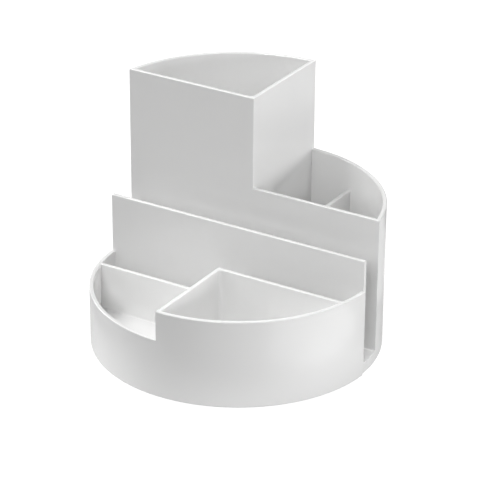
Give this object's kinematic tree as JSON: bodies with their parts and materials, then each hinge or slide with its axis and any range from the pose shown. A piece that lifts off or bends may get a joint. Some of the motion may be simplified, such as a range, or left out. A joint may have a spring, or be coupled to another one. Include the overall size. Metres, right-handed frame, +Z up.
{
  "type": "desk organizer",
  "caption": "Round white plastic desk organizer: a tall quarter for pens, lower rear pockets, a letter slot across the middle, and a front trough, tray and bin.",
  "frame": {"origin": "on the desk, under the middle of the round body", "axes": "+Z up; +X along the letter slot; +Y towards the tall pen compartment, which stands at the rear left (-X, +Y)"},
  "size_m": [0.141, 0.1406, 0.1195],
  "materials": {
    "white_plastic": "glossy moulded polystyrene"
  },
  "bodies": {
    "root": {"foot_ring": "white_plastic", "base_floor": "white_plastic", "slot_back_panel": "white_plastic", "slot_front_panel": "white_plastic", "tower_side_panel": "white_plastic", "tower_curved_wall": "white_plastic", "rear_curved_wall": "white_plastic", "rear_divider": "white_plastic", "front_divider": "white_plastic", "front_wall_high": "white_plastic", "front_wall_low": "white_plastic", "bin_back_panel": "white_plastic", "tray_back_panel": "white_plastic"}
  },
  "joints": []
}
